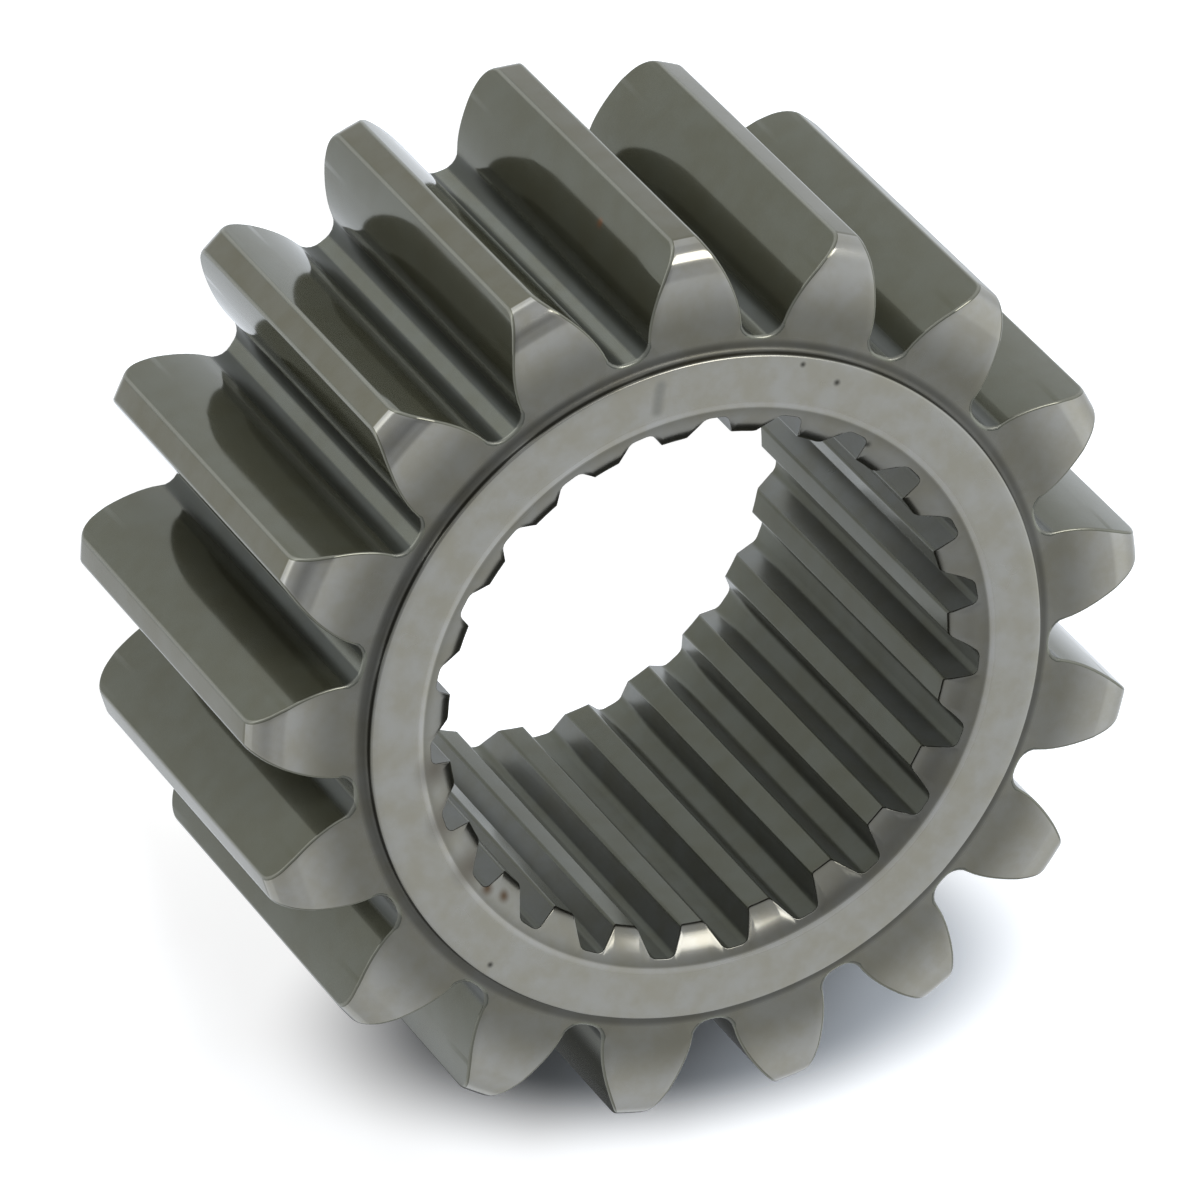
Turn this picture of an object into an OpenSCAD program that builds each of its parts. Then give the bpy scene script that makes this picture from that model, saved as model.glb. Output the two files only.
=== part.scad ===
// One-piece countershaft gear: a 17-tooth spur gear with a splined bore.
// Hobbed and shaved from a steel forging, the bore broached, both ends turned, then case hardened.
// Millimetres. The gear stands on the hub ring of one end, the bore axis is +Z and both ends are alike.
// +Y runs through the middle of one gear tooth and of one spline ridge.

/* [Gear teeth] */
// Number of gear teeth
tooth_count = 17; // [17:1:23]
// Module: pitch diameter divided by the number of teeth
gear_module = 2.54; // [2.5:0.01:3]
// Pressure angle in degrees
pressure_angle = 20; // [17.5:0.5:22.5]
// Profile shift, in modules: it keeps so few teeth from being undercut
profile_shift = 0.5; // [0.4:0.05:0.6]
// Height of the tooth above the shifted pitch circle, in modules
addendum = 0.89; // [0.7:0.01:0.95]
// Depth of the tooth below the shifted pitch circle, in modules
dedendum = 1.26; // [1.1:0.01:1.3]
// Radius of the fillet at each tooth's root
root_fillet_r = 1.0; // [0.5:0.05:1.1]
// Length of the teeth along the axis
face_width = 25.6; // [18:0.1:34]

/* [Rounded tooth ends] */
// How far down from the tip the end of each tooth is cut back
end_relief_drop = 1.7; // [1.5:0.05:2.8]
// How far along the tip the end of each tooth is cut back
end_relief_run = 0.36; // [0.2:0.02:0.8]
// Radius that blends the cut-back end into the tip
end_relief_r = 1.4; // [0.8:0.05:1.6]

/* [Hub rings] */
// Outer radius of the raised hub ring on each end
hub_r = 18.85; // [17.8:0.05:19.1]
// Height of a hub ring above the ends of the teeth
hub_step = 0.55; // [0.5:0.05:1.5]
// Radius of the fillet at the foot of a hub ring
hub_fillet_r = 0.3; // [0.15:0.05:0.35]
// Rounding of a hub ring's outer edge
hub_edge_r = 0.15; // [0.05:0.05:0.15]

/* [Splined bore] */
// Number of spline ridges
ridge_count = 23; // [18:1:25]
// Radius at the tops of the ridges
ridge_top_r = 14.05; // [13.6:0.05:14.5]
// Radius at the bottoms of the grooves
groove_bottom_r = 15.45; // [15.2:0.05:15.8]
// Width of a ridge at its top
ridge_top_w = 1.25; // [0.8:0.05:1.5]
// Width of a groove at its bottom
groove_bottom_w = 1.3; // [1:0.05:1.5]
// Radius in the two bottom corners of a groove
groove_corner_r = 0.3; // [0.1:0.05:0.4]

/* [Bore mouths] */
// Radius of the lead-in chamfer where it meets an end face
mouth_r = 16.07; // [15.95:0.01:16.4]
// Slope of the lead-in chamfer, in degrees from the end face
mouth_angle = 28; // [20:0.5:45]
// How much of each ridge's height its steep end bevel takes
ridge_bevel_depth = 0.15; // [0.1:0.05:0.3]
// How far along the ridge its steep end bevel runs
ridge_bevel_run = 0.55; // [0.3:0.05:0.9]

/* [Hidden] */
$fn = 96;

// Reach of cutting shapes past the faces they cut, and of a tooth outline past the blank that trims it
past = 1;
// Steps along one flank, one root fillet, one groove corner and one end relief
flank_steps = 8;
fillet_steps = 5;
corner_steps = 3;
relief_steps = 7;

overall_h = face_width + 2 * hub_step;

tip_r = gear_module * (tooth_count / 2 + profile_shift + addendum);
root_r = gear_module * (tooth_count / 2 + profile_shift - dedendum);
base_r = gear_module * tooth_count / 2 * cos(pressure_angle);
tooth_pitch = 360 / tooth_count;

// Involute function: the angle, in degrees, that an involute has turned where its pressure angle is a
function inv(a) = tan(a) * 180 / PI - a;

// Half the angle that a tooth covers at its base circle, and at radius r
base_half = 90 / tooth_count + 2 * profile_shift * tan(pressure_angle) / tooth_count * 180 / PI + inv(pressure_angle);
function tooth_half(r) = base_half - inv(acos(min(1, base_r / r)));

// The root fillet is a circle that touches the root circle and the foot of the flank. A large one touches
// the involute, and its centre is on a parallel involute. A small one touches the radial line below it.
fillet_centre_r = root_r + root_fillet_r;
fillet_reach = sqrt(max(0, pow(fillet_centre_r, 2) - pow(base_r, 2)));
meets_involute = fillet_reach > root_fillet_r;
fillet_lean = meets_involute ? acos(base_r / fillet_centre_r) : asin(root_fillet_r / fillet_centre_r);
fillet_angle = base_half + (meets_involute ? root_fillet_r / base_r * 180 / PI - inv(fillet_lean) : fillet_lean);
flank_foot_r = meets_involute ? norm([base_r, fillet_reach - root_fillet_r])
    : sqrt(pow(fillet_centre_r, 2) - pow(root_fillet_r, 2));
flank_start_r = max(base_r, flank_foot_r);
flank_end_r = tip_r + past / 2;

// A point at radius r and angle a, counted clockwise from +Y
function at(r, a) = [r * sin(a), r * cos(a)];

// One side of a tooth from root to tip, at angles counted from the tooth's own middle
function fillet_side() = [for (i = [0:fillet_steps - 1])
    let (turn = (90 - fillet_lean) * i / fillet_steps,
         c = at(fillet_centre_r, fillet_angle),
         spin = fillet_angle + 180 + turn)
    c + root_fillet_r * [sin(spin), cos(spin)]];
function flank_side() = [for (i = [0:flank_steps])
    let (r = flank_start_r + (flank_end_r - flank_start_r) * i / flank_steps)
    at(r, tooth_half(r))];
function tooth_side() = concat(fillet_side(), flank_side());

function backwards(points) = [for (i = [len(points) - 1:-1:0]) points[i]];
function flipped(points) = [for (p = points) [-p[0], p[1]]];
function turned(points, a) = [for (p = points)
    [p[0] * cos(a) + p[1] * sin(a), p[1] * cos(a) - p[0] * sin(a)]];

function tooth() = concat(flipped(tooth_side()), backwards(tooth_side()));
function gear_outline() = [for (k = [0:tooth_count - 1]) each turned(tooth(), k * tooth_pitch)];

// The end relief leaves the tip on a blend arc and runs down to the end face on a straight slope
relief_slope = atan2(end_relief_run, end_relief_drop);
relief_blend = end_relief_r * tan((90 - relief_slope) / 2);
function relief_arc() = [for (i = [0:relief_steps])
    let (a = (90 - relief_slope) * i / relief_steps)
    [tip_r - end_relief_r * (1 - cos(a)), -end_relief_run - relief_blend + end_relief_r * sin(a)]];
function relief_end() = [tip_r - end_relief_drop - past * cos(relief_slope), past * sin(relief_slope)];

// Turned blank that the teeth are cut in: its two ends are mirror images
function blank_end() = concat([for (p = relief_arc()) [p[0], face_width + p[1]]],
    [[relief_end()[0], face_width + relief_end()[1]], [0, face_width + relief_end()[1]]]);
function blank_outline() = concat(blank_end(),
    backwards([for (p = blank_end()) [p[0], face_width - p[1]]]));

module toothed_rim() {
    translate([0, 0, hub_step])
        intersection() {
            linear_extrude(height = face_width) polygon(gear_outline());
            rotate_extrude() polygon(blank_outline());
        }
}

// What stands inside the upper end also stands, upside down, inside the lower one
module on_both_ends() {
    children();
    translate([0, overall_h]) mirror([0, 1]) children();
}

// Section of what the rounding takes off the upper ring's outer edge
module hub_edge_cut() {
    translate([hub_r - hub_edge_r, overall_h - hub_edge_r])
        difference() {
            square(hub_edge_r + past);
            circle(hub_edge_r);
        }
}

// Section of the upper ring's foot: it starts inside the rim and runs out in a fillet
module hub_foot() {
    translate([hub_r - past / 2, hub_step + face_width - past / 2])
        difference() {
            square([hub_fillet_r + past / 2, hub_fillet_r + past / 2]);
            translate([hub_fillet_r + past / 2, hub_fillet_r + past / 2]) circle(hub_fillet_r);
        }
}

module hub() {
    rotate_extrude() {
        difference() {
            square([hub_r, overall_h]);
            on_both_ends() hub_edge_cut();
        }
        on_both_ends() hub_foot();
    }
}

// Half the angle of a ridge at its top, and of a groove at its bottom
ridge_half = asin(ridge_top_w / 2 / ridge_top_r);
groove_half = asin(groove_bottom_w / 2 / groove_bottom_r);
groove_pitch = 360 / ridge_count;

// Corners of one groove around its own middle: the ridge's edge and the sharp bottom corner
edge = at(ridge_top_r, groove_pitch / 2 - ridge_half);
corner = at(groove_bottom_r, groove_half);
flank_lean = atan2(edge[0] - corner[0], corner[1] - edge[1]);
corner_turn = 90 - flank_lean;
corner_inset = groove_corner_r * tan(corner_turn / 2);
corner_centre = [corner[0] - corner_inset, corner[1] - groove_corner_r];
// The flank is carried past the ridge's edge, into the bore
edge_inside = edge + past / 2 * (edge - corner) / norm(edge - corner);

function groove_side() = concat([edge_inside],
    [for (i = [0:corner_steps])
        let (a = flank_lean + corner_turn * i / corner_steps)
        [corner_centre[0] + groove_corner_r * cos(a), corner_centre[1] + groove_corner_r * sin(a)]]);
function groove() = concat(groove_side(), backwards(flipped(groove_side())));

module splined_hole() {
    linear_extrude(height = overall_h + 2 * past) {
        circle(ridge_top_r);
        for (k = [0:ridge_count - 1])
            rotate(-(k + 0.5) * groove_pitch) polygon(groove());
    }
}

// Lead-in cone at one mouth, seen as a cut going down from an end face at height 0
bevel_r = ridge_top_r + ridge_bevel_depth;
lead_in_drop = (mouth_r - bevel_r) * tan(mouth_angle);
module lead_in() {
    rotate_extrude()
        polygon([
            [0, past],
            [mouth_r + past / tan(mouth_angle), past],
            [bevel_r, -lead_in_drop],
            [ridge_top_r - ridge_bevel_depth, -lead_in_drop - 2 * ridge_bevel_run],
            [0, -lead_in_drop - 2 * ridge_bevel_run]
        ]);
}

module countershaft_gear() {
    color("dimgray")
        difference() {
            union() {
                toothed_rim();
                hub();
            }
            translate([0, 0, -past]) splined_hole();
            translate([0, 0, overall_h]) lead_in();
            mirror([0, 0, 1]) lead_in();
        }
}

countershaft_gear();
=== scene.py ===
from math import acos, asin, atan2, cos, pi, radians, sin, sqrt, tan

import bmesh
import bpy
from mathutils import Matrix, Vector


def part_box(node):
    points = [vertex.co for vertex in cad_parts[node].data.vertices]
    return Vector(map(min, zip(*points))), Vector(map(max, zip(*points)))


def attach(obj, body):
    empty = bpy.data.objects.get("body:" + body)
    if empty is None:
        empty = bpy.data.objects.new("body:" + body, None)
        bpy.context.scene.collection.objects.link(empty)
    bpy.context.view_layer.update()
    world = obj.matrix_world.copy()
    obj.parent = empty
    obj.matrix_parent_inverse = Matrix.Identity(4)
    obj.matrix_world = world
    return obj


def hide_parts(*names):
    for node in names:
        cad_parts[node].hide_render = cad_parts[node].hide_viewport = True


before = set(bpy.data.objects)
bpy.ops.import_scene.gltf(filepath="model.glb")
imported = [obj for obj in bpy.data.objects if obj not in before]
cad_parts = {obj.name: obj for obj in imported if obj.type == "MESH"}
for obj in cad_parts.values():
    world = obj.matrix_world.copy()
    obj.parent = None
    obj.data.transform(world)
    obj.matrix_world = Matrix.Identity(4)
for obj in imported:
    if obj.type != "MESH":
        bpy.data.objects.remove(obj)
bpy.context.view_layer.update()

mm = 0.001
scene = bpy.context.scene
scene.view_settings.view_transform = "Standard"


# Camera: a long lens looks down into the bore from over the upper hub ring.
# It is rolled, so the gear seems to lean away while it stands flat on its lower ring.
camera_azimuth = radians(168.868)
camera_elevation = radians(55.532)
camera_roll = radians(136.396)
camera_distance = 766.56 * mm
camera_aim = Vector((0.068, -0.885, 13.552)) * mm
lens_length = 439.43
sensor_width = 36


def direction(azimuth, elevation):
    """Unit vector towards an azimuth, counted from +X to +Y, and an elevation."""
    return Vector((cos(elevation) * cos(azimuth), cos(elevation) * sin(azimuth), sin(elevation)))


lens = bpy.data.cameras.new("camera")
lens.lens = lens_length
lens.sensor_width = sensor_width
camera = bpy.data.objects.new("camera", lens)
scene.collection.objects.link(camera)
toward_camera = direction(camera_azimuth, camera_elevation)
turn = toward_camera.to_track_quat("Z", "Y").to_matrix() @ Matrix.Rotation(camera_roll, 3, "Z")
camera.matrix_world = Matrix.Translation(camera_aim + camera_distance * toward_camera) @ turn.to_4x4()
scene.camera = camera


# Floor: a matt white sheet that the gear stands on. What the camera sees of it is overexposed to white,
# but for an oval of painted shadow with a faint fringe, where the glow is taken away and the lamp's real
# shadow of the gear shows. The steel mirrors it as a white sheet with a painted shadow patch, a painted
# pool of light and a painted dull spot under the bore.
floor_half = 1.5
floor_color = (0.76, 0.78, 0.8, 1)
shadow_middle = Vector((28.5, -18.1, 0)) * mm
shadow_turn = radians(34.6)
shadow_length = 2.4
shadow_inner_r = 13.1 * mm
shadow_outer_r = 25.5 * mm
fringe_inner_r = 22.6 * mm
fringe_outer_r = 61 * mm
fringe_level = 0.86
# Painted shadow patch in the floor's glow, which only the steel mirrors
painted_shadow_middle = Vector((30, -30, 0)) * mm
painted_shadow_inner_r = 16 * mm
painted_shadow_outer_r = 30 * mm
painted_shadow_level = 0.08
steel_glow = 1.1
# Painted shade under the bore in the floor's glow, which only the steel mirrors
bore_shade_inner_r = 11 * mm
bore_shade_outer_r = 17 * mm
bore_shade_level = 0.6
# Painted pool of light in the floor's glow, which only the steel mirrors
painted_pool_middle = Vector((-210, 10, 0)) * mm
painted_pool_inner_r = 70 * mm
painted_pool_outer_r = 190 * mm
painted_pool_glow = 1.5
brightest = 3.0
cool_white = (0.95, 1.0, 1.07, 1)


class Wire:
    """A socket of a node tree: an expression on it adds the Math nodes that work it out."""

    def __init__(self, tree, socket=None):
        self.tree = tree
        self.socket = socket

    def node(self, kind, settings, inputs, output=0):
        """Adds a node with its settings and its input values or links, and returns one of its outputs."""
        made = self.tree.nodes.new(kind)
        for name, value in settings.items():
            setattr(made, name, value)
        for name, value in inputs.items():
            if isinstance(value, Wire):
                self.tree.links.new(value.socket, made.inputs[name])
            else:
                made.inputs[name].default_value = value
        return Wire(self.tree, made.outputs[output])

    def maths(self, operation, *values):
        return self.node("ShaderNodeMath", {"operation": operation}, dict(enumerate(values)))

    def __add__(self, other):
        return self.maths("ADD", self, other)

    def __radd__(self, other):
        return self.maths("ADD", other, self)

    def __sub__(self, other):
        return self.maths("SUBTRACT", self, other)

    def __rsub__(self, other):
        return self.maths("SUBTRACT", other, self)

    def __mul__(self, other):
        return self.maths("MULTIPLY", self, other)

    def __truediv__(self, other):
        return self.maths("DIVIDE", self, other)

    def __pow__(self, other):
        return self.maths("POWER", self, other)

    def __abs__(self):
        return self.maths("ABSOLUTE", self)

    def ramp_between(self, low, high):
        """0 where the value is under low and 1 where it is over high, with a smooth step between."""
        inputs = {"Value": self, "From Min": low, "From Max": high}
        return self.node("ShaderNodeMapRange", {"interpolation_type": "SMOOTHSTEP"}, inputs)

    def mix_color(self, color_a, color_b):
        """color_a where this wire is 0 and color_b where it is 1."""
        inputs = {0: self, 6: color_a, 7: color_b}
        return self.node("ShaderNodeMix", {"data_type": "RGBA"}, inputs, output=2)


def new_material(name):
    """A material, its empty tree as a Wire, and its output node."""
    material = bpy.data.materials.new(name)
    material.use_nodes = True
    material.node_tree.nodes.clear()
    output = material.node_tree.nodes.new("ShaderNodeOutputMaterial")
    return material, Wire(material.node_tree), output


def place_wires(wire):
    """x, y and z of the Object coordinates in millimetres, with their vector."""
    place = wire.node("ShaderNodeTexCoord", {}, {}, output="Object")
    scaled = wire.node("ShaderNodeVectorMath", {"operation": "SCALE"}, {0: place, "Scale": 1 / mm})
    split = {axis: wire.node("ShaderNodeSeparateXYZ", {}, {0: scaled}, output=axis) for axis in "XYZ"}
    return split["X"], split["Y"], split["Z"], scaled


def ramp_around(x, y, middle, low, high, turned=0.0, squeezed=1.0):
    """0 in an oval patch of the floor and 1 away from it, with a smooth step between two radii."""
    off_x, off_y = x - middle.x / mm, y - middle.y / mm
    along = off_x * cos(turned) + off_y * sin(turned)
    across = (off_y * cos(turned) - off_x * sin(turned)) * squeezed
    return ((along * along + across * across) ** 0.5).ramp_between(low / mm, high / mm)


def white_floor_material():
    """Lit matt white with a glow for the camera that a painted shadow takes away, and a glow with painted
    shade and light for the rays that the steel mirrors.
    """
    material, wire, output = new_material("white_floor")
    x, y = place_wires(wire)[:2]
    oval = {"middle": shadow_middle, "turned": shadow_turn, "squeezed": shadow_length}
    # Painted shadow: the camera's glow fades out in an oval with a faint fringe, so the lamp's real shadow
    # of the gear shows there
    lit = ramp_around(x, y, low=shadow_inner_r, high=shadow_outer_r, **oval)
    fringe = ramp_around(x, y, low=fringe_inner_r, high=fringe_outer_r, **oval)
    lit = lit * (fringe_level + fringe * (1 - fringe_level))
    # Painted shadow that the steel mirrors: a dark patch on the gear's shadow side
    mirrored_shadow_patch = ramp_around(x, y, painted_shadow_middle, painted_shadow_inner_r, painted_shadow_outer_r)
    # Painted pool of light that the steel mirrors, far out on the lens's side of the gear
    painted_pool = 1 - ramp_around(x, y, painted_pool_middle, painted_pool_inner_r, painted_pool_outer_r)
    # Painted shade that the steel mirrors: the glow is dimmer under the bore
    painted_bore_shade = ramp_around(x, y, Vector((0, 0, 0)), bore_shade_inner_r, bore_shade_outer_r)
    mirrored = (painted_shadow_level + mirrored_shadow_patch * (1 - painted_shadow_level)) * steel_glow + painted_pool * painted_pool_glow
    mirrored = mirrored * (bore_shade_level + painted_bore_shade * (1 - bore_shade_level))
    mirrored = (mirrored / brightest).mix_color((0, 0, 0, 1), cool_white)
    matt = wire.node("ShaderNodeBsdfDiffuse", {}, {"Color": floor_color})
    seen_glow = wire.node("ShaderNodeEmission", {}, {"Color": lit})
    seen = wire.node("ShaderNodeAddShader", {}, {0: matt, 1: seen_glow})
    steel_sees = wire.node("ShaderNodeEmission", {}, {"Color": mirrored, "Strength": brightest})
    from_steel = wire.node("ShaderNodeLightPath", {}, {}, output="Is Glossy Ray")
    both = wire.node("ShaderNodeMixShader", {}, {0: from_steel, 1: seen, 2: steel_sees})
    wire.tree.links.new(both.socket, output.inputs["Surface"])
    return material


floor_mesh = bpy.data.meshes.new("floor")
floor_corners = [(-floor_half, -floor_half, 0), (floor_half, -floor_half, 0),
                 (floor_half, floor_half, 0), (-floor_half, floor_half, 0)]
floor_mesh.from_pydata(floor_corners, [], [(0, 1, 2, 3)])
floor = bpy.data.objects.new("floor", floor_mesh)
scene.collection.objects.link(floor)
floor_mesh.materials.append(white_floor_material())


# Light: a white room for the steel to mirror, dull on the lens's side and brighter past the gear,
# a soft box over the gear's far side that the tooth ends gleam in, and a lamp that lights the floor.
room_level = 0.86
room_on_floor = 0.03
room_patches = [(20, 25, 2, 0.34), (-158, 58, 5, -0.47), (60, 84, 25, -0.42),
                (60, 20, 8, 0.3), (140, 40, 8, 0.2), (18, 40, 25, 0.32)]


def direction_wire(wire, ray, azimuth, elevation, sharpness):
    """1 towards a direction of the room and 0 away from it."""
    toward = direction(radians(azimuth), radians(elevation))
    inputs = {0: ray, 1: toward}
    facing = wire.node("ShaderNodeVectorMath", {"operation": "DOT_PRODUCT"}, inputs, output="Value")
    return facing.maths("MAXIMUM", facing, 0) ** sharpness


def white_room():
    """The world: pale walls, lighter and duller in patches of (azimuth, elevation, sharpness, change)."""
    world = bpy.data.worlds.new("white_room")
    world.use_nodes = True
    world.node_tree.nodes.clear()
    wire = Wire(world.node_tree)
    output = world.node_tree.nodes.new("ShaderNodeOutputWorld")
    ray = wire.node("ShaderNodeTexCoord", {}, {}, output="Generated")
    strength = room_level
    for azimuth, elevation, sharpness, change in room_patches:
        strength = strength + direction_wire(wire, ray, azimuth, elevation, sharpness) * change
    rays = {name: wire.node("ShaderNodeLightPath", {}, {}, output="Is " + name + " Ray")
            for name in ("Camera", "Diffuse")}
    strength = strength * (1 - rays["Diffuse"] * (1 - room_on_floor))
    strength = strength.maths("MAXIMUM", strength, rays["Camera"])
    color = (strength / brightest).mix_color((0, 0, 0, 1), cool_white)
    background = wire.node("ShaderNodeBackground", {}, {"Color": color, "Strength": brightest})
    world.node_tree.links.new(background.socket, output.inputs["Surface"])
    return world


def soft_box(name, azimuth, elevation, width, height, level, color, for_steel):
    """A rectangular lamp one metre away that faces the gear. Its face has that level, and it lights
    either the steel or the floor."""
    lamp = bpy.data.lights.new(name, "AREA")
    lamp.shape = "RECTANGLE"
    lamp.size = width
    lamp.size_y = height
    lamp.energy = level * pi * width * height
    lamp.color = color
    holder = bpy.data.objects.new(name, lamp)
    toward = direction(radians(azimuth), radians(elevation))
    facing = toward.to_track_quat("Z", "Y").to_matrix().to_4x4()
    holder.matrix_world = Matrix.Translation(toward) @ facing
    holder.visible_glossy = for_steel
    holder.visible_diffuse = not for_steel
    scene.collection.objects.link(holder)


scene.world = white_room()
soft_box("key_box", 98, 48, 0.45, 0.5, 5.0, (1, 1, 1), for_steel=True)
soft_box("floor_lamp", 133, 50, 0.4, 0.4, 16, (0.94, 1, 1.08), for_steel=False)


# Toothed rim: seventeen involute teeth, hobbed and then shaved, in a rim that was turned first.
# The turning left rings on the end faces, rounded tooth ends and a bright break on every edge.
gear_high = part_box("countershaft_gear")[1]
tip_r = gear_high.y
overall_h = gear_high.z
tooth_count = 17
gear_module = 2.54 * mm
pressure_angle = radians(20)
profile_shift = 0.5
tooth_depth = 2.15 * gear_module
root_fillet_r = 1.0 * mm
face_width = 25.6 * mm
relief_drop = 1.7 * mm
relief_run = 0.36 * mm
relief_r = 1.4 * mm
edge_break = 0.13 * mm
root_edge_break = 0.2 * mm
relief_edge_break = 0.12 * mm
hub_r = 18.85 * mm
hub_fillet_r = 0.3 * mm
hub_edge_r = 0.15 * mm
mouth_r = 16.07 * mm
ring_steps = 391
fillet_steps = 5
cross_steps = 11
flank_steps = 7
slope_steps = 3
relief_steps = 8
length_steps = 8
break_steps = 3

root_r = tip_r - tooth_depth
rim_top = (overall_h + face_width) / 2
base_r = gear_module * tooth_count / 2 * cos(pressure_angle)
tooth_pitch = 2 * pi / tooth_count
rim_inner_r = hub_r + hub_fillet_r


class Skin:
    """Points and quads of one sector, as rows of points are woven together."""

    def __init__(self):
        self.points = []
        self.quads = []
        self.turned = []
        self.worn = []

    def weave(self, rows, turned, worn=None):
        """Quads between neighbouring rows of equally many points; worn gives each row's edge wear."""
        start, across = len(self.points), len(rows[0])
        for row, wear in zip(rows, worn or [0] * len(rows)):
            self.points += row
            self.worn += [wear] * across
        for i in range(len(rows) - 1):
            for j in range(across - 1):
                a = start + i * across + j
                self.quads.append((a, a + 1, a + across + 1, a + across))
                self.turned.append(turned)

    def to_object(self, name):
        mesh = bpy.data.meshes.new(name)
        mesh.from_pydata([tuple(p) for p in self.points], [], self.quads)
        mesh.attributes.new("turned", "BOOLEAN", "FACE").data.foreach_set("value", self.turned)
        mesh.attributes.new("edge_wear", "FLOAT", "POINT").data.foreach_set("value", self.worn)
        made = bpy.data.objects.new(name, mesh)
        scene.collection.objects.link(made)
        return made


def involute(angle):
    return tan(angle) - angle


shift_half = 2 * profile_shift * tan(pressure_angle) / tooth_count
base_half = pi / 2 / tooth_count + shift_half + involute(pressure_angle)


def tooth_half(radius):
    """Half the angle that a tooth covers at a radius."""
    return base_half - involute(acos(min(1, base_r / radius)))


def polar(radius, angle, z=0.0):
    """A point at an angle counted clockwise from +Y."""
    return Vector((radius * sin(angle), radius * cos(angle), z))


def bend(start, corner, end, steps):
    """Points of a soft arc from start to end that leans into the corner, both ends included."""
    shares = [i / steps for i in range(steps + 1)]
    return [start * (1 - t) ** 2 + corner * 2 * t * (1 - t) + end * t ** 2 for t in shares]


def relief_profile():
    """(radius, depth below the end face, normal) from the tooth's foot over its end to the tip land."""
    slope = atan2(relief_run, relief_drop)
    along = Vector((relief_drop, -relief_run)).normalized()
    edge = Vector((tip_r - relief_drop, 0))
    before = edge - Vector((relief_edge_break, 0))
    after = edge + relief_edge_break * along
    foot = Vector((flank_foot_r, 0))
    blend = relief_r * tan((pi / 2 - slope) / 2)
    arc_centre = Vector((tip_r - relief_r, -relief_run - blend))
    arc_starts = arc_centre + relief_r * Vector((sin(slope), cos(slope)))
    stations = [(foot.lerp(before, i / flank_steps), 0) for i in range(flank_steps)]
    turns = [slope * i / break_steps for i in range(break_steps + 1)]
    stations += list(zip(bend(before, edge, after, break_steps), turns))
    stations += [(after.lerp(arc_starts, i / slope_steps), slope) for i in range(1, slope_steps)]
    for i in range(relief_steps + 1):
        lean = slope + (pi / 2 - slope) * i / relief_steps
        stations.append((arc_centre + relief_r * Vector((sin(lean), cos(lean))), lean))
    return [(p.x, p.y, lean) for p, lean in stations]


# The root fillet touches the root circle and the involute, so its centre is on a parallel involute.
fillet_centre_r = root_r + root_fillet_r
fillet_reach = sqrt(fillet_centre_r ** 2 - base_r ** 2)
fillet_lean = acos(base_r / fillet_centre_r)
fillet_angle = base_half + root_fillet_r / base_r - involute(fillet_lean)
flank_foot_r = sqrt(base_r ** 2 + (fillet_reach - root_fillet_r) ** 2)


def edge_stations():
    """Stations of the upper edge of a tooth's right side, from the middle of the root to the tip.

    Each has three points: on the flank below the edge, where the sharp edge would be, and on the end.
    """
    up = Vector((0, 0, 1))
    stations = []
    middle = polar(root_r, tooth_pitch / 2, rim_top)
    stations.append((middle, -middle.xy.to_3d().normalized()))
    centre = polar(fillet_centre_r, fillet_angle, rim_top)
    for i in range(fillet_steps):
        spin = fillet_angle + pi + (pi / 2 - fillet_lean) * i / fillet_steps
        outward = polar(1, spin)
        stations.append((centre + root_fillet_r * outward, outward))
    stations = [(p - root_edge_break * up, p, p + root_edge_break * inward) for p, inward in stations]
    for radius, depth, lean in relief_profile():
        angle = tooth_half(radius)
        corner = polar(radius, angle, rim_top + depth)
        small = radius * 1e-4
        outward = (polar(radius, angle) - polar(radius - small, tooth_half(radius - small))).normalized()
        lift = outward.dot(polar(1, angle))
        down_flank = -sin(lean) * outward - cos(lean) * up
        on_end = polar(radius, angle - edge_break / radius / lift, rim_top + depth)
        stations.append((corner + edge_break * down_flank, corner, on_end))
    return stations


def upside_down(point):
    return Vector((point.x, point.y, overall_h - point.z))


def left_side(point):
    return Vector((-point.x, point.y, point.z))


def tooth_sector():
    """One tooth with half a gap on each side of it."""
    skin = Skin()
    upper = edge_stations()
    lower = [[upside_down(p) for p in station] for station in upper]
    shares = [k / length_steps for k in range(1, length_steps)]
    tip_row = [[a.lerp(b, share) for a, b in zip(upper[-1], lower[-1])] for share in shares]
    chain = upper + tip_row + lower[::-1]
    flank = [[a[0].lerp(b[0], k / length_steps) for a, b in zip(upper, lower)]
             for k in range(length_steps + 1)]
    breaks = list(zip(*[bend(*station, break_steps) for station in chain]))
    wear = [sin(pi * i / break_steps) for i in range(break_steps + 1)]
    for side in (Vector, left_side):
        skin.weave([[side(p) for p in row] for row in flank], turned=False)
        skin.weave([[side(p) for p in row] for row in breaks], turned=False, worn=wear)
    foot = fillet_steps + 1
    cross = []
    for station in chain[foot:len(chain) - foot]:
        end = station[2]
        radius, angle = end.xy.length, atan2(end.x, end.y)
        shares = [2 * j / cross_steps - 1 for j in range(cross_steps + 1)]
        cross.append([polar(radius, angle * share, end.z) for share in shares])
    skin.weave(cross, turned=True)
    for stations, row in ((upper, cross[0]), (lower, cross[-1])):
        gap = [station[2] for station in stations[:foot]]
        outer = [left_side(p) for p in gap] + row + gap[::-1]
        turns = [tooth_pitch * (i / (len(outer) - 1) - 0.5) for i in range(len(outer))]
        skin.weave([outer, [polar(rim_inner_r, a, row[0].z) for a in turns]], turned=True)
    return skin.to_object("tooth_sector")


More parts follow.
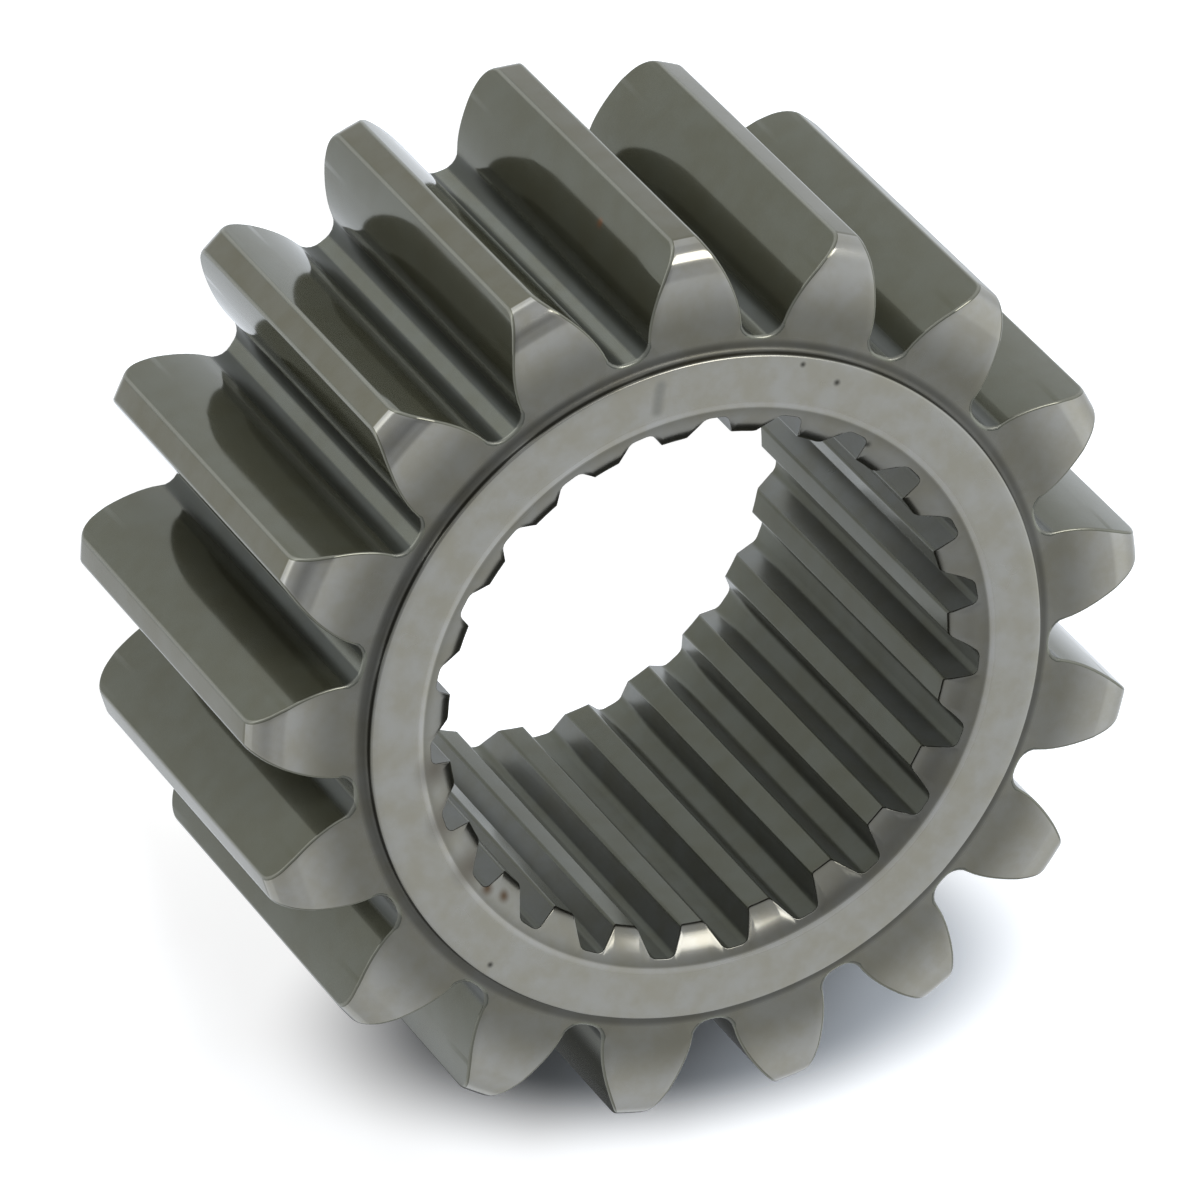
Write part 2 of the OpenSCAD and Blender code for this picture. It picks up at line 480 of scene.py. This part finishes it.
def ring_of_copies():
    """Node tree that turns copies of a sector round the bore axis, joins them and gives their finish."""
    tree = bpy.data.node_groups.new("ring_of_copies", "GeometryNodeTree")
    inputs = {"Geometry": "NodeSocketGeometry", "Count": "NodeSocketInt",
              "Weld Distance": "NodeSocketFloat", "Worked Finish": "NodeSocketMaterial",
              "Turned Finish": "NodeSocketMaterial"}
    for name, kind in inputs.items():
        tree.interface.new_socket(name, in_out="INPUT", socket_type=kind)
    tree.interface.new_socket("Geometry", in_out="OUTPUT", socket_type="NodeSocketGeometry")
    wire = Wire(tree)
    given = {name: wire.node("NodeGroupInput", {}, {}, output=name) for name in inputs}
    line = wire.node("GeometryNodeMeshLine", {}, {"Count": given["Count"], "Offset": (0, 0, 0)})
    index = wire.node("GeometryNodeInputIndex", {}, {})
    angle = index * (2 * pi) / given["Count"]
    rotation = wire.node("ShaderNodeCombineXYZ", {}, {"Z": angle})
    copies = wire.node("GeometryNodeInstanceOnPoints", {},
                       {"Points": line, "Instance": given["Geometry"], "Rotation": rotation})
    real = wire.node("GeometryNodeRealizeInstances", {}, {"Geometry": copies})
    joined = wire.node("GeometryNodeMergeByDistance", {},
                       {"Geometry": real, "Distance": given["Weld Distance"]})
    smooth = wire.node("GeometryNodeSetShadeSmooth", {}, {0: joined})
    worked = wire.node("GeometryNodeSetMaterial", {},
                       {"Geometry": smooth, "Material": given["Worked Finish"]})
    is_turned = wire.node("GeometryNodeInputNamedAttribute", {"data_type": "BOOLEAN"},
                          {"Name": "turned"})
    turned = wire.node("GeometryNodeSetMaterial", {},
                       {"Geometry": worked, "Selection": is_turned, "Material": given["Turned Finish"]})
    result = tree.nodes.new("NodeGroupOutput")
    tree.links.new(turned.socket, result.inputs["Geometry"])
    return tree


def rotated_copies(sector, count, worked_finish, turned_finish):
    """The plain mesh of a whole ring made of a sector, which is then removed."""
    modifier = sector.modifiers.new("copies", "NODES")
    modifier.node_group = copies_tree
    values = {"Count": count, "Weld Distance": weld_distance,
              "Worked Finish": worked_finish, "Turned Finish": turned_finish}
    for item in copies_tree.interface.items_tree:
        if item.in_out == "INPUT" and item.name in values:
            modifier[item.identifier] = values[item.name]
    seen = sector.evaluated_get(bpy.context.evaluated_depsgraph_get())
    mesh = bpy.data.meshes.new_from_object(seen)
    bpy.data.objects.remove(sector)
    return mesh


weld_distance = 0.0005 * mm
copies_tree = ring_of_copies()

bright_steel = (0.275, 0.267, 0.228)
gleaming_steel = (0.292, 0.284, 0.246)
dark_steel = (0.141, 0.137, 0.113)
cone_color = (0.189, 0.184, 0.156)
# Painted shade in the fillet round the ring's foot
foot_shade_color = (0.09, 0.088, 0.074)
lip_color = (0.31, 0.302, 0.266)
land_color = (0.13, 0.124, 0.089)
shaved_color = (0.089, 0.089, 0.059)
fillet_color = (0.05, 0.053, 0.04)
stripe_color = (0.125, 0.128, 0.094)
cloud_spread = 0.07
worn_share = 0.4
worn_gain = 1.3
lay_height = 0.004 * mm


def tint(color, factor):
    return tuple(channel * factor for channel in color) + (1,)


def clouded(cloud, color):
    """A colour that drifts a little from place to place, as heat treatment and handling leave it."""
    warm = (color[0] * 1.03, color[1], color[2] * 0.95)
    cool = (color[0], color[1], color[2] * 1.05)
    return cloud.mix_color(tint(warm, 1 - cloud_spread), tint(cool, 1 + cloud_spread))


def steel_material(name, zones, marks, metallic, lay, lay_depth):
    """zones is a list of (colour, roughness, mask maker) and lay makes the pattern that the tool left.

    marks is a list of spots: a point in millimetres, how far the spot reaches from it, and its colour.
    """
    material, wire, output = new_material(name)
    x, y, z, place = place_wires(wire)
    radius = (x * x + y * y) ** 0.5
    noise = wire.node("ShaderNodeTexNoise", {},
                      {"Vector": place, "Scale": 0.45, "Detail": 4.0, "Roughness": 0.6})
    cloud = noise.ramp_between(0.3, 0.7)
    color, roughness = clouded(cloud, zones[0][0]), zones[0][1]
    for zone_color, zone_roughness, mask in zones[1:]:
        inside = mask(radius, z)
        color = inside.mix_color(color, clouded(cloud, zone_color))
        roughness = roughness + inside * (zone_roughness - roughness)
    for point, reach, mark_color in marks:
        ends = {0: place, 1: point}
        off = wire.node("ShaderNodeVectorMath", {"operation": "DISTANCE"}, ends, output="Value")
        color = (1 - off.ramp_between(0, reach)).mix_color(color, mark_color)
    wear = wire.node("ShaderNodeAttribute", {"attribute_name": "edge_wear"}, {}, output="Fac")
    color = (wear * worn_share).mix_color(color, tint(bright_steel, worn_gain))
    lines = lay(wire, x, y, z, radius)
    bump = wire.node("ShaderNodeBump", {},
                     {"Height": lines, "Strength": lay_depth, "Distance": lay_height})
    smear = wire.node("ShaderNodeTexNoise", {}, {"Vector": place, "Scale": 0.25, "Detail": 3.0})
    smeared = (0.8 + smear * 0.4) * roughness
    shader = wire.node("ShaderNodeBsdfPrincipled", {}, {
        "Base Color": color, "Metallic": metallic, "Roughness": smeared, "Normal": bump})
    wire.tree.links.new(shader.socket, output.inputs["Surface"])
    return material


def turned_lay(wire, x, y, z, radius):
    """Fine rings round the bore axis."""
    section = wire.node("ShaderNodeCombineXYZ", {},
                        {"X": radius * 14, "Y": z * 14, "Z": y / radius * 1.5})
    return wire.node("ShaderNodeTexNoise", {"noise_dimensions": "4D"},
                     {"Vector": section, "W": x / radius * 1.5, "Scale": 1.0, "Detail": 2.0})


def drawn_lay(wire, x, y, z, radius):
    """Fine lines along the bore axis."""
    section = wire.node("ShaderNodeCombineXYZ", {}, {"X": x * 9, "Y": y * 9, "Z": z * 0.12})
    return wire.node("ShaderNodeTexNoise", {}, {"Vector": section, "Scale": 1.0, "Detail": 2.0})


def from_middle(z):
    """Height above or below the gear's middle, so that both ends look alike."""
    return abs(z - overall_h / mm / 2)


def on_ring_top(radius, z):
    return from_middle(z).ramp_between(overall_h / mm / 2 - 0.06, overall_h / mm / 2 - 0.02)


def inside_ring(radius, z):
    return 1 - radius.ramp_between(mouth_r / mm - 0.9, mouth_r / mm)


def on_tip_land(radius, z):
    return radius.ramp_between(tip_r / mm - 0.04, tip_r / mm - 0.02)


def outside_washer(radius, z):
    return radius.ramp_between(root_r / mm + 0.75, tip_r / mm - 1.1)


def on_mouth_lip(radius, z):
    near_lip = 1 - abs(radius - mouth_r / mm).ramp_between(0.04, 0.2)
    return near_lip * from_middle(z).ramp_between(overall_h / mm / 2 - 0.2, overall_h / mm / 2 - 0.15)


# Painted shade: the fillet round the ring's foot, where the corner is shaded, is coloured darker
def in_painted_foot_shade(radius, z):
    near_foot = 1 - abs(radius - rim_inner_r / mm).ramp_between(0.1, 0.45)
    return near_foot * (1 - on_ring_top(radius, z))


def below_shaved_flank(radius, z):
    return 1 - radius.ramp_between(root_r / mm + 0.5, root_r / mm + 0.9)


def on_root_stripe(radius, z):
    return 1 - radius.ramp_between(root_r / mm + 0.015, root_r / mm + 0.045)


# Marks of wear and handling: a smudge, pits and brown spots round the upper mouth, and a rust speck;
# wide dark spots of painted shade lie over the groove ends on one side of the upper mouth.
pit_color = (0.05, 0.048, 0.04, 1)
smudge_color = (0.2, 0.195, 0.17, 1)
brown_color = (0.075, 0.05, 0.03, 1)
# Painted shade over the groove ends on one side of the upper mouth
groove_end_shade_color = (0.1, 0.09, 0.072, 1)
ring_marks = [
    ((-13.75, 11.8, 26.7), 0.5, smudge_color), ((-13.6, 11.5, 26.7), 0.5, smudge_color),
    ((-13.4, 11.2, 26.7), 0.5, smudge_color), ((-13.2, 10.9, 26.7), 0.5, smudge_color),
    ((-13.0, 10.6, 26.7), 0.5, smudge_color), ((-5.24, 16.96, 26.7), 0.28, pit_color),
    ((-7.59, 16.76, 26.7), 0.24, pit_color), ((-0.5, -18.22, 26.7), 0.26, pit_color),
    ((-1.24, 15.13, 26.4), 0.35, pit_color), ((-3.41, -14.95, 26.45), 0.6, brown_color),
    # The last three spots are painted shade over the groove ends on one side of the upper mouth
    ((-2.18, -14.81, 26.4), 0.55, brown_color), ((-5.1, -14.5, 26.4), 1.5, groove_end_shade_color),
    ((-8.0, -13.1, 26.4), 1.6, groove_end_shade_color), ((-10.5, -11.2, 26.4), 1.5, groove_end_shade_color)]
rust_speck = ((-17.03, 16.07, 18.0), 0.42, (0.2, 0.085, 0.03, 1))

turned_steel = steel_material(
    "turned_steel", [(dark_steel, 0.26, None), (foot_shade_color, 0.45, in_painted_foot_shade),
                     (cone_color, 0.24, inside_ring), (bright_steel, 0.26, on_ring_top),
                     (gleaming_steel, 0.18, outside_washer), (land_color, 0.24, on_tip_land),
                     (lip_color, 0.3, on_mouth_lip)], ring_marks, 1.0, turned_lay, 0.35)
shaved_steel = steel_material(
    "shaved_steel", [(shaved_color, 0.1, None), (fillet_color, 0.4, below_shaved_flank),
                     (stripe_color, 0.2, on_root_stripe)], [rust_speck], 0.68, drawn_lay, 0.04)
rim_mesh = rotated_copies(tooth_sector(), tooth_count, shaved_steel, turned_steel)


# Hub rings: a raised ring round the bore on each end, turned flat for a thrust washer to rub on.
# Its foot runs into the rim on a small fillet, and its inner edge is blended into the bore mouth.
mouth_angle = radians(28)
mouth_lip_slope = 0.22
mouth_blend = 0.28 * mm
bevel_r = 14.2 * mm
ridge_bevel_depth = 0.15 * mm
ridge_bevel_run = 0.22 * mm
ring_fillet_steps = 5
ring_face_steps = 6


def mouth_height(radius):
    """Height of the upper mouth at a radius: a bell that gets steeper inwards, then the ridges' bevel."""
    reach = mouth_r - bevel_r
    share = (mouth_r - max(radius, bevel_r)) / reach
    bell = reach * share * (mouth_lip_slope + (tan(mouth_angle) - mouth_lip_slope) * share ** 2)
    return overall_h - bell - max(0, bevel_r - radius) / ridge_bevel_depth * ridge_bevel_run


def turned_column():
    """Section of the upper ring, as upright points: up its foot, over its face and into the bore mouth."""
    fillet_centre = Vector((rim_inner_r, 0, rim_top + hub_fillet_r))
    edge_centre = Vector((hub_r - hub_edge_r, 0, overall_h - hub_edge_r))
    quarter = [pi / 2 * i / ring_fillet_steps for i in range(ring_fillet_steps + 1)]
    column = [fillet_centre - hub_fillet_r * Vector((sin(a), 0, cos(a))) for a in quarter]
    column += [edge_centre + hub_edge_r * Vector((cos(a), 0, sin(a))) for a in quarter]
    corner = Vector((mouth_r, 0, overall_h))
    before = corner + Vector((mouth_blend, 0, 0))
    after = Vector((corner.x - mouth_blend, 0, mouth_height(corner.x - mouth_blend)))
    column += [column[-1].lerp(before, i / ring_face_steps) for i in range(1, ring_face_steps)]
    return column + bend(before, corner, after, 4)


def ring_sector():
    """A thin slice of both rings. Its outer end lies half a step ahead, where the rim's points are."""
    skin = Skin()
    step = 2 * pi / ring_steps
    column = turned_column()
    lead = [step / 2 * (1 - i / (len(column) - 1)) for i in range(len(column))]
    rows = [[polar(p.x, a + ahead, p.z) for p, ahead in zip(column, lead)] for a in (0, step)]
    skin.weave(rows, turned=True)
    skin.weave([[upside_down(p) for p in row] for row in rows], turned=True)
    return skin.to_object("ring_sector")


ring_mesh = rotated_copies(ring_sector(), ring_steps, turned_steel, turned_steel)


# Splined bore: twenty-three broached ridges that fit the shaft, with rounded groove corners.
# A turned lead-in cone opens both mouths, and a steeper bevel ends every ridge.
ridge_count = 23
ridge_top_r = 14.05 * mm
groove_bottom_r = 15.45 * mm
ridge_top_w = 1.25 * mm
groove_bottom_w = 1.3 * mm
groove_corner_r = 0.5 * mm
ridge_edge_break = 0.1 * mm
mouth_edge_break = 0.08 * mm
corner_steps = 3
bore_steps = 8
cone_steps = 5

groove_pitch = 2 * pi / ridge_count
ridge_half = asin(ridge_top_w / 2 / ridge_top_r)
groove_half = asin(groove_bottom_w / 2 / groove_bottom_r)
cone_end_r = mouth_r - mouth_blend


def groove_stations():
    """Half the outline of a groove, from the middle of a ridge to the groove's bottom."""
    edge = polar(ridge_top_r, groove_pitch / 2 - ridge_half)
    corner = polar(groove_bottom_r, groove_half)
    down = (corner - edge).normalized()
    flank_lean = atan2(edge.x - corner.x, corner.y - edge.y)
    corner_turn = pi / 2 - flank_lean
    inset = groove_corner_r * tan(corner_turn / 2)
    centre = Vector((corner.x - inset, corner.y - groove_corner_r, 0))
    on_top = polar(ridge_top_r, groove_pitch / 2 - ridge_half + ridge_edge_break / ridge_top_r)
    stations = [polar(ridge_top_r, groove_pitch / 2)]
    stations += bend(on_top, edge, edge + ridge_edge_break * down, 2)
    share = (bevel_r - ridge_top_r) / (groove_bottom_r - ridge_top_r)
    stations.append(edge.lerp(corner, share * 0.98))
    for i in range(corner_steps + 1):
        a = flank_lean + corner_turn * i / corner_steps
        stations.append(centre + groove_corner_r * Vector((cos(a), sin(a), 0)))
    return stations


def bore_column(point, mouth_angle_at):
    """Points down the bore at one station of the outline, from the upper mouth to the lower one."""
    radius, angle = point.xy.length, atan2(point.x, point.y)
    outer = polar(cone_end_r, mouth_angle_at, mouth_height(cone_end_r))
    sharp = polar(radius, angle, mouth_height(radius))
    on_wall = sharp - Vector((0, 0, mouth_edge_break))
    radii = [max(radius, bevel_r) + ridge_edge_break * step for step in (2, 1, 0.5)]
    if radius < bevel_r:
        radii[2] = bevel_r - (bevel_r - radius) * 0.3
    outward = radius + mouth_edge_break * 0.5
    path = [polar(r, angle, mouth_height(r)) for r in radii + [outward]]
    spread = [outer.lerp(path[0], i / cone_steps) for i in range(1, cone_steps)]
    spread = [Vector((p.x, p.y, mouth_height(p.xy.length))) for p in spread]
    upper = [outer] + spread + path[:-1] + bend(path[-1], sharp, on_wall, 2)
    lower = [upside_down(p) for p in reversed(upper)]
    wall = [upper[-1].lerp(lower[0], k / bore_steps) for k in range(1, bore_steps)]
    return upper + wall + lower


def bore_sector():
    """One groove with half a ridge on each side of it."""
    skin = Skin()
    half = groove_stations()
    outline = half + [left_side(p) for p in reversed(half)]
    steps = len(outline) - 1
    turns = [groove_pitch * (0.5 - i / steps) for i in range(steps + 1)]
    columns = [bore_column(p, a) for p, a in zip(outline, turns)]
    rows = list(zip(*columns))
    mouth = cone_steps + 5
    skin.weave(rows[:mouth + 1], turned=True)
    skin.weave(rows[mouth:-mouth], turned=False)
    skin.weave(rows[-mouth - 1:], turned=True)
    sector = skin.to_object("bore_sector")
    sector.data.transform(Matrix.Rotation(groove_pitch / 2, 4, "Z"))
    return sector


# Painted light and shade in the bore: the groove walls are coloured lighter, the ridge tops darker and the
# groove bottoms darker still
lit_wall_color = (0.165, 0.168, 0.145)
ridge_shade_color = (0.122, 0.124, 0.09)
groove_shade_color = (0.106, 0.109, 0.08)


def on_ridge_top(radius, z):
    return 1 - radius.ramp_between(ridge_top_r / mm + 0.04, ridge_top_r / mm + 0.2)


def in_groove_bottom(radius, z):
    return radius.ramp_between(groove_bottom_r / mm - 0.35, groove_bottom_r / mm - 0.1)


# The zone colours of the broached steel are painted light and shade
broached_steel = steel_material(
    "broached_steel", [(lit_wall_color, 0.3, None), (ridge_shade_color, 0.2, on_ridge_top),
                       (groove_shade_color, 0.33, in_groove_bottom)], [], 0.8, drawn_lay, 0.15)
bore_mesh = rotated_copies(bore_sector(), ridge_count, broached_steel, turned_steel)


# The gear: rim, ring and bore are one piece of steel, so their meshes are welded into one skin.
def welded(name, meshes):
    """One closed mesh of several, with the materials that they use."""
    materials = []
    build = bmesh.new()
    for mesh in meshes:
        for polygon in mesh.polygons:
            material = mesh.materials[polygon.material_index]
            if material not in materials:
                materials.append(material)
            polygon.material_index = materials.index(material)
        build.from_mesh(mesh)
    bmesh.ops.remove_doubles(build, verts=build.verts, dist=weld_distance)
    bmesh.ops.dissolve_degenerate(build, edges=build.edges, dist=weld_distance / 5)
    bmesh.ops.recalc_face_normals(build, faces=build.faces)
    mesh = bpy.data.meshes.new(name)
    build.to_mesh(mesh)
    build.free()
    for material in materials:
        mesh.materials.append(material)
    return mesh


gear_mesh = welded("gear", [rim_mesh, ring_mesh, bore_mesh])
gear = bpy.data.objects.new("gear", gear_mesh)
scene.collection.objects.link(gear)
weighted = gear.modifiers.new("flat_faces", "WEIGHTED_NORMAL")
weighted.weight = 60
weighted.keep_sharp = False
finished = bpy.data.meshes.new_from_object(gear.evaluated_get(bpy.context.evaluated_depsgraph_get()))
gear.modifiers.clear()
gear.data = finished
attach(gear, "root")
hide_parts("countershaft_gear")
